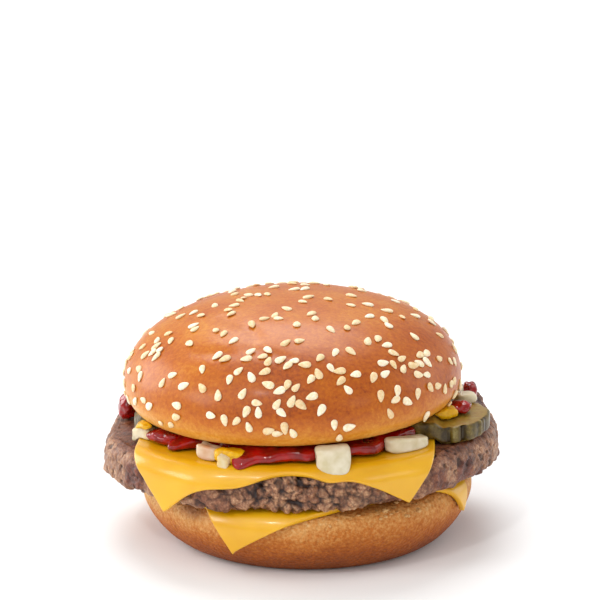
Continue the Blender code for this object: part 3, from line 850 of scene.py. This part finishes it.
# each crumb's own tone; the dome terms add a painted highlight on the crumb tops
tone = 0.14 * mid_tone + 0.12 * big_tone + 0.14 * bead_tone
tone = tone + 0.2 * domes[0] + 0.16 * domes[1] + 0.16 * domes[2]
tone = tone + 0.12 * cloud(patty_grid, 8, seed=44) - 0.05
seared = smooth((cloud(patty_grid, 9, seed=46) - 0.05) / 0.35) * (1 - 0.6 * hump(angle, -92, 40))
seared = np.clip(seared + 0.8 * smooth((patty_grid[..., 2] - 30) / 2.5) * (1 - hump(angle, -92, 45)), 0, 1)
depth = np.clip(depth, 0, 1)
closed_piece("beef_patty", patty_grid, beef, "patty", "grilled_beef", depth=depth, tone=tone, seared=seared)

# %% [markdown]
# ## The cheese slices
# Warm, a slice gives up its stiffness: it lies flat on top, rolls over the edge below it and hangs. To
# drape it, each point's distance past the edge becomes length along a path that bends over and down. The
# sheet gets its thickness from Solidify and its soft cut edge from Bevel.


# %% Draping
def draped(x, y, rim, start, path, creep):
    """Folds flat points over an edge that starts so far inside the rim.

    The path's points are (outward from the start, height), and creep lists (direction, shift) pairs in
    degrees: how far round the soft slice has slid once it is over the edge.
    """
    r, angle = np.hypot(x, y), np.arctan2(y, x)
    first = rim(angle) - start
    over = np.clip(r - first, 0, None)
    out, height = path
    along = np.concatenate([[0], np.cumsum(np.hypot(np.diff(out), np.diff(height)))])
    at, shift = np.array(creep).T
    slide = np.interp(np.degrees(angle), at, shift, period=360) * smooth(over / 8 + 0.5)
    angle = angle + np.radians(slide)
    reach = np.minimum(r, first) + np.interp(over, along, out)
    return np.stack([reach * np.cos(angle), reach * np.sin(angle), np.interp(over, along, height)], axis=-1)


def slice_plan(side, at, turned_by, count):
    """A square grid in plan, its corners very slightly rounded, moved and turned into place."""
    line = np.linspace(-1, 1, count)
    u, v = np.meshgrid(line, line, indexing="ij")
    nip = 1 - 0.012 * (u**8) * (v**8)
    u, v = turn(u * nip * side / 2, v * nip * side / 2, turned_by)
    return u + at[0], v + at[1]


def slice_piece(name, points, stands_for):
    """A sheet from a square grid of points, given its thickness and a rounded cut edge."""
    count = len(points)
    index = np.arange(count * count).reshape(count, count)
    quads = np.stack([index[:-1, :-1], index[1:, :-1], index[1:, 1:], index[:-1, 1:]], axis=-1)
    piece = piece_from(
        name, points.reshape(-1, 3), quads.reshape(-1, 4).tolist(), cheese, stands_for,
        {},
    )
    wall = piece.modifiers.new("Thickness", "SOLIDIFY")
    wall.thickness = SLICE_T * MM
    wall.offset = 0
    edge = piece.modifiers.new("Cut edge", "BEVEL")
    edge.width = 0.5 * MM
    edge.segments = 3
    edge.limit_method = "ANGLE"
    edge.angle_limit = math.radians(60)
    return piece


# %% Lower slice
level = HEEL_TOP_Z + TOUCH + SLICE_T / 2
stand_off = HEEL_R + 0.5 + SLICE_T / 2
t = np.linspace(0, math.pi / 2, 40)
out, fall = superellipse(t, stand_off - HEEL_TOP_R, level - HEEL_WAIST_Z, HEEL_RIM_POWER)
path = np.append(out, out[-1] - 1.5), np.append(HEEL_WAIST_Z + fall, HEEL_WAIST_Z - 12)
creep = [(-175, 0), (-138, 11), (-114, 0), (-92, 8), (-46, 8), (-27, 0), (-14, -6), (20, 0)]
x, y = slice_plan(LOWER_SIDE, LOWER_AT, LOWER_TURN, 120)
lower = draped(x, y, lambda a: HEEL_TOP_R + 0 * a, 0.0, path, creep)
slice_piece("cheese_slice_lower", lower, "cheese_lower")

# %% Upper slice
corner = PATTY_ROUND + TOUCH + SLICE_T / 2
t = np.linspace(0, math.pi / 2, 40)
bend = corner + 0.35 * np.sin(2 * t)
out, fall = bend * np.sin(t), PATTY_TOP_Z - PATTY_ROUND + bend * np.cos(t)
path = np.append(out, out[-1] - 0.3), np.append(fall, PATTY_TOP_Z - PATTY_ROUND - 14)
creep = [(-160, 0), (-136, 1.5), (-95, 0), (-55, -1.7), (-40, 0)]
x, y = slice_plan(UPPER_SIDE, UPPER_AT, UPPER_TURN, 120)
# Mustard and onion weigh the slice's front edge down at two places; between them it hangs less far.
stretch = (
    1.7 * np.exp(-(((x + 22) / 9) ** 2)) + 1.3 * np.exp(-(((x - 6.5) / 4.5) ** 2))
    - 0.5 * np.exp(-(((x + 7) / 7) ** 2))
)
y = y - stretch * smooth((-y - 30) / 16)
x = x - 0.8 * smooth((-x - 30) / 16) * smooth((-y - 10) / 20)
upper = draped(x, y, patty_rim, PATTY_ROUND, path, creep)
hang = smooth((PATTY_TOP_Z - upper[..., 2]) / 6)
upper[..., 2] -= sag(upper[..., 0], upper[..., 1])
upper[..., :2] *= 1 + (0.016 * (cloud(upper, 13, seed=52) + 0.35) * hang)[..., None]
slice_piece("cheese_slice_upper", upper, "cheese_upper")

# %% [markdown]
# ## Toppings
# Every topping is squeezed between what it lies on and the crown above it. `seat` turns a share, 0 at the
# underside and 1 at the top, into a height between the two. A rounded block, a drop of sauce and a round of
# pickle all start from one closed unit form, a superellipsoid, whose power makes it boxy or ball-like.


# %% Unit forms and seating
def rounded_form(rows, columns, power):
    """A superellipsoid from -1 to 1: powers of sines and cosines, 1 for a ball, small for a box."""
    t = np.linspace(0, math.pi, rows)[:, None]
    angle = np.linspace(0, 2 * math.pi, columns, endpoint=False)[None, :]

    def eased(value):
        return np.sign(value) * np.abs(value) ** power

    girth = eased(np.sin(t))
    x, y = girth * eased(np.cos(angle)), girth * eased(np.sin(angle))
    return np.stack([x, y, eased(np.cos(t)) + 0 * angle], axis=-1)


def seat(x, y, share, base, thick):
    """A height between a topping's underside, share 0, and its top, which the crown presses down."""
    low = base(x, y)
    return low + share * (np.minimum(low + thick, roof(x, y)) - low)


def on_pickle(x, y):
    """The top of a pickle slice."""
    return seat(x, y, 1, stiff_bed, PICKLE_T)


def on_left_onion(x, y):
    """The top of the onion piece that carries the left drop of mustard."""
    return seat(x, y, 1, bed, LEFT_ONION_T)


# %% [markdown]
# ### Pickles
# A round of cucumber about 5 mm thick. Its rim carries shallow ribs, unevenly spaced, and its cut faces
# dip a little towards the seeds.


# %% Pickles
def add_pickle(node, radius, seed, notches=()):
    """A disc: the radius carries the ribs and notches, the faces sink slightly, the edges are rounded."""
    x0, y0 = middle(node)[:2]
    form = rounded_form(48, 360, 1.0)
    angle = np.arctan2(form[..., 1], form[..., 0])
    flat = np.clip(np.hypot(form[..., 0], form[..., 1]), 0, 1) ** 0.12
    share = 0.5 + 0.5 * np.sign(form[..., 2]) * np.abs(form[..., 2]) ** 0.35
    flat = np.where(np.abs(form[..., 2]) > 0.97, flat * (1 - np.abs(form[..., 2])) / 0.03, flat)
    way = np.stack([np.cos(angle), np.sin(angle), 0 * angle], axis=-1)
    ribs = cloud(way * 3.2, 0.42, seed=seed, layers=2) + 0.5 * np.cos(19 * angle + seed)
    skin = smooth((flat - 0.93) / 0.04)
    cuts = sum(deep * hump(angle, at, wide) for at, deep, wide in notches)
    r = radius * flat * (1 + 0.012 * np.cos(7 * angle) + 0.01 * np.cos(3 * angle + 1) + 0.016 * ribs * skin)
    r = r - cuts * skin
    x, y = x0 + r * np.cos(angle), y0 + r * np.sin(angle)
    dip = 0.12 * cloud(np.stack([x, y, 0 * x], axis=-1), 5, seed=seed + 3) * (1 - skin)
    grid = np.stack([x, y, seat(x, y, share, stiff_bed, PICKLE_T) + dip], axis=-1)
    # painted shade: the notches are made darker
    rib = 0.22 * ribs - 0.3 * cuts
    closed_piece(node + "_slice", grid, pickle, node, "pickled_cucumber", rind=skin, rib=rib)


add_pickle("pickle_right", 16.8, seed=61, notches=[(-58, 1.5, 3.2), (-74, 0.8, 2.4), (-30, 0.5, 2.5)])
add_pickle("pickle_left", 15.3, seed=67)

# %% [markdown]
# ### Onion
# Diced pieces of one leaf: curved a little, cut square at the ends, thinner at one side. Length, depth and
# height are the real ones, and the place is that of the solid.

# %% Onion pieces
# node, (length, depth, height) in mm, turn in degrees, backward slope, taper, curl in mm
ONIONS = [
    ("onion_left", (9.8, 3.2, 3.9), -53, 0.0, 0.0, 0.5),
    ("onion_front_left", (7.4, 4.2, 4.4), -35, 0.1, 0.2, 0.5),
    ("onion_front_small", (3.4, 2.6, 3.4), -25, 0.0, 0.2, 0.2),
    ("onion_front", (9.6, 4.8, 5.4), 3, 0.35, -0.05, 0.6),
    ("onion_front_right", (13.4, 4.4, 4.6), 31, 0.1, 0.35, 0.9),
    ("onion_right", (5.8, 4.8, 3.1), 20, 0.0, 0.1, 0.3),
    ("onion_sliver", (5.4, 1.6, 7.8), 82, 0.0, 0.2, 0.3),
    ("onion_back_right", (9.2, 4.6, 4.4), -35, 0.0, 0.2, 0.5),
    ("onion_back", (8.4, 4.6, 4.6), 12, 0.0, 0.0, 0.5),
    ("onion_back_left", (7.6, 4.8, 4.4), 63, 0.0, 0.1, 0.4),
]
# node: how much of it is stained by ketchup, and how much by mustard
STAINS = {"onion_front_left": (0.55, 0.1), "onion_front_small": (0.0, 1.0), "onion_left": (0.0, 0.25)}


def add_onion(node, size, turned_by, slope, taper, curl, seed):
    """A boxy form: tapered along its length, curled like a leaf, with its sides a little uneven."""
    x0, y0 = middle(node)[:2]
    length, depth, thick = size
    form = rounded_form(40, 72, 0.42)
    form = form * (1 + 0.2 * cloud(form, 1.1, seed=seed))[..., None]
    a, b, c = np.moveaxis(form, -1, 0)
    share = (c + 1) / 2
    tall = thick * (1 - taper * (a + 1) / 2)
    u, v = turn(a * length / 2, b * depth / 2 + curl * (a**2 - 0.5), math.radians(turned_by))
    y_mid = y0 - slope * thick / 2
    x, y = u + x0, v + y_mid + slope * share * thick
    base = on_pickle if node == "onion_right" else bed
    grid = np.stack([x, y, seat(x, y, share, base, tall)], axis=-1)
    patchy = smooth(0.6 + cloud(grid, 4, seed=seed + 20))
    red, yellow = (patchy * share for share in STAINS.get(node, (0, 0)))
    closed_piece(node + "_piece", grid, onion, node, "onion_flesh", ketchup_stain=red, mustard_stain=yellow)


for number, (node, *form) in enumerate(ONIONS):
    add_onion(node, *form, seed=70 + number)

# %% [markdown]
# ### Ketchup
# Pressed by the crown, the ketchup creeps out in rounded tongues and stops at the pickles. Its outline is a
# circle with bells added in the directions of the tongues; its edge is a round bead that thins as it runs
# out over the slice. Small ripples catch the light.

# %% Ketchup layer
# direction in degrees, how much further out, half width in degrees
TONGUES = [
    (-141, 9.5, 7), (-113, 9.5, 6.5), (-102, 5.0, 6), (-90, 4.8, 6), (-78, 2.5, 5), (-66, 4.2, 7),
    (25, 4.0, 9), (62, 3.5, 8), (88, 2.0, 6), (128, 4.5, 9), (158, 3.0, 6),
]


def ketchup_rim(angle):
    """The ketchup's outline: just past the crown's cut face, with tongues, and hollowed at the pickles."""
    reach = 40.6 + 0 * angle
    for direction, more, width in TONGUES:
        reach = reach + more * hump(angle, direction, width)
    for node, radius in (("pickle_left", 15.3), ("pickle_right", 16.8)):
        x, y = middle(node)[:2]
        away, off = np.hypot(x, y), angle - np.arctan2(y, x)
        half = np.sqrt(np.clip((radius - 0.5) ** 2 - (away * np.sin(off)) ** 2, 0, None))
        met = (half > 0) & (np.cos(off) > 0)
        reach = np.where(met, np.minimum(reach, away * np.cos(off) - half), reach)
    return reach


form = rounded_form(40, 720, 1.0)
angle = np.arctan2(form[..., 1], form[..., 0])
flat = np.hypot(form[..., 0], form[..., 1]) ** 0.16
share = 0.5 + 0.5 * np.sign(form[..., 2]) * np.abs(form[..., 2]) ** 0.5
way = np.stack([np.cos(angle), np.sin(angle), 0 * angle], axis=-1)
r = flat * (ketchup_rim(angle) + 0.5 * cloud(way * 45, 4, seed=81))
x, y = r * np.cos(angle), r * np.sin(angle)
thick = 4.6 * (1 - 0.55 * smooth((r - 43) / 8))
grid = np.stack([x, y, seat(x, y, share, bed, thick)], axis=-1)
grid = pushed(grid, 0.45 * cloud(grid, 4.0, seed=83) * flat)
closed_piece("ketchup_layer", grid, ketchup, "ketchup", "tomato_ketchup")


# %% [markdown]
# ### Drops
# The loose drops of ketchup and mustard are balls squashed onto what they lie on, made lumpy by noise. One
# more drop of ketchup runs out at the front left, past the pickle, where the layer's outline can't reach.


# %% Drops of sauce
def add_drop(name, at, size, turned_by, base, lumps, seed, node=None):
    """A ball squashed between its base and the crown, with lumps pushed out by noise."""
    length, depth, thick = size
    form = rounded_form(36, 60, 0.85)
    form = form * (1 + 0.25 * cloud(form, 0.9, seed=seed))[..., None]
    u, v = turn(form[..., 0] * length / 2, form[..., 1] * depth / 2, math.radians(turned_by))
    x, y = u + at[0], v + at[1]
    grid = np.stack([x, y, seat(x, y, (form[..., 2] + 1) / 2, base, thick)], axis=-1)
    grid = pushed(grid, lumps * cloud(grid, 1.9, seed=seed + 1))
    paste, slot = (mustard, "mustard_sauce") if name.startswith("mustard") else (ketchup, "tomato_ketchup")
    closed_piece(name, grid, paste, node, slot)


# node, shift in plan from its solid's middle, (length, depth, height), turn in degrees, what it lies on
DROPS = [
    ("mustard_left", (0, 0), (6.2, 3.2, 2.2), -53, on_left_onion),
    ("mustard_front", (-1.0, -1.2), (9.2, 5.2, 4.2), -14, bed),
    ("mustard_right", (0, 0), (8.0, 4.8, 3.6), 20, on_pickle),
    ("mustard_back", (0, 0), (8.4, 5.2, 4.2), -8, bed),
    ("ketchup_left", (0, 0), (6.6, 9.0, 7.2), 0, bed),
    ("ketchup_on_pickle", (-0.4, 0), (7.2, 6.4, 3.6), 0, on_pickle),
    ("ketchup_right", (-0.8, -0.6), (4.8, 6.2, 7.0), 0, bed),
]
for number, (node, shift, size, turned_by, base) in enumerate(DROPS):
    at = middle(node)[:2] + shift
    add_drop(node + "_drop", at, size, turned_by, base, lumps=0.35, seed=90 + 2 * number, node=node)
add_drop("ketchup_front_left_drop", (-40.0, -24.5), (11.5, 7.0, 4.4), -32, bed, lumps=0.4, seed=110)

# %% [markdown]
# ## Stage, light and camera
# A plain white floor under soft light. Wide suns stand for big softboxes: their light is even over the whole
# floor and their size gives soft shadows and broad, quiet highlights. The main one stands high behind the
# burger and the next low at its back left, so the crown's top and left side shine and the shadow falls to
# the front right. Weaker ones fill in from the front and the right.

# %% Floor
bpy.ops.mesh.primitive_plane_add(size=8)
floor = bpy.context.object
floor.name = "floor"
floor_paint, tree, shader, spot = finish("white_card", Roughness=0.9, Specular_IOR_Level=0.1)
shader.inputs["Base Color"].default_value = linear("#f4f4f4")
floor.data.materials.append(floor_paint)


# %% Lamps
def add_sun(name, strength, size, height, side):
    """A wide sun: its size and its direction, as degrees above the horizon and round from the front."""
    lamp = bpy.data.lights.new(name, "SUN")
    lamp.energy = strength
    lamp.angle = math.radians(size)
    lamp_object = bpy.data.objects.new(name, lamp)
    lamp_object.rotation_euler = (math.radians(90 - height), 0, math.radians(side))
    bpy.context.scene.collection.objects.link(lamp_object)


add_sun("key_softbox", 1.6, 38, 57, -172)
add_sun("back_left_softbox", 1.3, 34, 18, -118)
add_sun("left_strip", 0.6, 20, 24, -69)
add_sun("right_front_strip", 0.15, 18, 25, 45)
add_sun("front_fill", 0.72, 70, 45, -35)
add_sun("right_softbox", 0.5, 40, 22, 110)
add_sun("small_lamp", 0.35, 4, 50, -30)
world = bpy.data.worlds.new("studio")
world.use_nodes = True
world.node_tree.nodes["Background"].inputs["Color"].default_value = (1, 1, 1, 1)
world.node_tree.nodes["Background"].inputs["Strength"].default_value = 0.55
bpy.context.scene.world = world

# %% Camera
camera = bpy.data.cameras.new("camera")
camera.sensor_width = 36
camera.lens = 139.4
camera.clip_end = 20
eye = bpy.data.objects.new("camera", camera)
eye.location = (-2.1 * MM, -661.9 * MM, 227.9 * MM)
eye.rotation_euler = (math.radians(90 - 13.45), 0, 0)
bpy.context.scene.collection.objects.link(eye)
bpy.context.scene.camera = eye
bpy.context.scene.view_settings.view_transform = "Standard"
print("camera", [round(v, 3) for v in eye.location])

# %% [markdown]
# ## Finishing
# The finished surfaces have to fill the same space as the solids.

# %% Updating the scene
bpy.context.view_layer.update()
